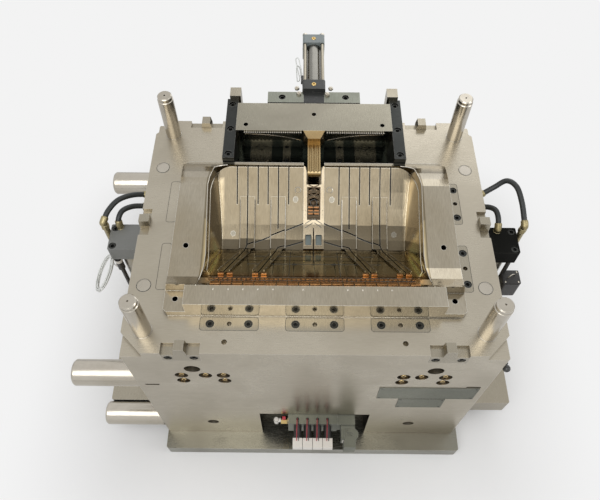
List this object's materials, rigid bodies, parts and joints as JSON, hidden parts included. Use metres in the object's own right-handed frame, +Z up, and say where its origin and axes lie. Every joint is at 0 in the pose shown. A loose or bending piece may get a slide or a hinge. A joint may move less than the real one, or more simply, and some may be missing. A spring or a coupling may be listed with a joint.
{
  "type": "injection mould half",
  "caption": "Moving half of a steel plastic injection mould with a trough core, guide pillars, a hydraulic rear slide and side ejector cylinders.",
  "frame": {"origin": "centre of the knock-out hole on the underside of the clamp plate", "axes": "+X to the right along the plates, +Y to the back where the slide cylinder stands out, +Z up to the parting face"},
  "size_m": [1.5, 1.388, 1.013],
  "materials": {
    "ground_steel": "ground, semi-bright",
    "centre_alloy": "polished",
    "dark_steel": "nitrided, dark",
    "pillar_steel": "ground bright",
    "block_steel": "ground",
    "brass": "machined",
    "black_metal": "black, satin",
    "hose_rubber": "matt",
    "black_plastic": "matt",
    "manifold_alloy": "anodised, matt",
    "white_plastic": "matt",
    "cable_white": "satin"
  },
  "bodies": {
    "base": {"clamp_plate": "ground_steel", "spacer_front": "ground_steel", "spacer_back": "ground_steel", "backing_plate": "ground_steel", "support_plate": "ground_steel", "core_plate": "ground_steel", "core_insert": "ground_steel", "centre_insert": "centre_alloy", "louvre_insert": "dark_steel", "guide_pillar_front_left": "pillar_steel", "guide_pillar_front_right": "pillar_steel", "guide_pillar_back_left": "pillar_steel", "guide_pillar_back_right": "pillar_steel", "interlocks_long": "block_steel", "interlocks_side": "block_steel", "wear_blocks_front": "block_steel", "wear_blocks_side": "block_steel", "socket_screws": "dark_steel", "water_nipples": "brass", "gib_rail_left": "dark_steel", "gib_rail_right": "dark_steel", "stop_blocks": "block_steel", "slide_base": "block_steel", "cylinder_beam": "block_steel", "cylinder_mount": "black_metal", "slide_cylinder_head": "black_metal", "slide_cylinder_tube": "block_steel", "slide_cylinder_cap": "black_metal", "slide_cylinder_ties": "block_steel", "ejector_cylinder_left": "black_metal", "ejector_cylinder_right": "black_metal", "ejector_tube_left": "block_steel", "ejector_tube_right": "block_steel", "ejector_foot_left": "black_metal", "ejector_foot_right": "black_metal", "hoses_left": "hose_rubber", "hoses_right": "hose_rubber", "limit_switches": "black_plastic", "sensor_cable": "cable_white", "sensor_cable_coil": "cable_white", "slide_cable": "cable_white", "stop_buttons": "block_steel", "support_pillars": "block_steel", "support_legs": "pillar_steel", "valve_manifold": "manifold_alloy", "valve_coils": "black_plastic", "valve_plugs": "white_plastic", "connector_base": "manifold_alloy", "connector_hood": "manifold_alloy", "nameplates": "manifold_alloy", "ball_stud": "black_metal"},
    "rear_slide": {"slide_body": "block_steel", "slide_tongue": "brass", "slide_rod": "pillar_steel"},
    "ejector": {"ejector_base_plate": "block_steel", "ejector_retainer_plate": "block_steel", "return_pins": "pillar_steel", "ejector_pins": "pillar_steel", "ejector_rods": "pillar_steel"},
    "locking_lever": {"connector_lever": "manifold_alloy"}
  },
  "joints": [
    {"name": "slide_travel", "type": "slide", "parent": "base", "child": "rear_slide", "axis": [0, -1, 0], "range_m": [0, 0.105]},
    {"name": "eject_travel", "type": "slide", "parent": "base", "child": "ejector", "axis": [0, 0, 1], "range_m": [0, 0.12]},
    {"name": "lever_swing", "type": "hinge", "parent": "base", "child": "locking_lever", "pos_m": [0.143, -0.496, 0.251], "axis": [0, 0, 1], "range_deg": [0, 90]}
  ]
}
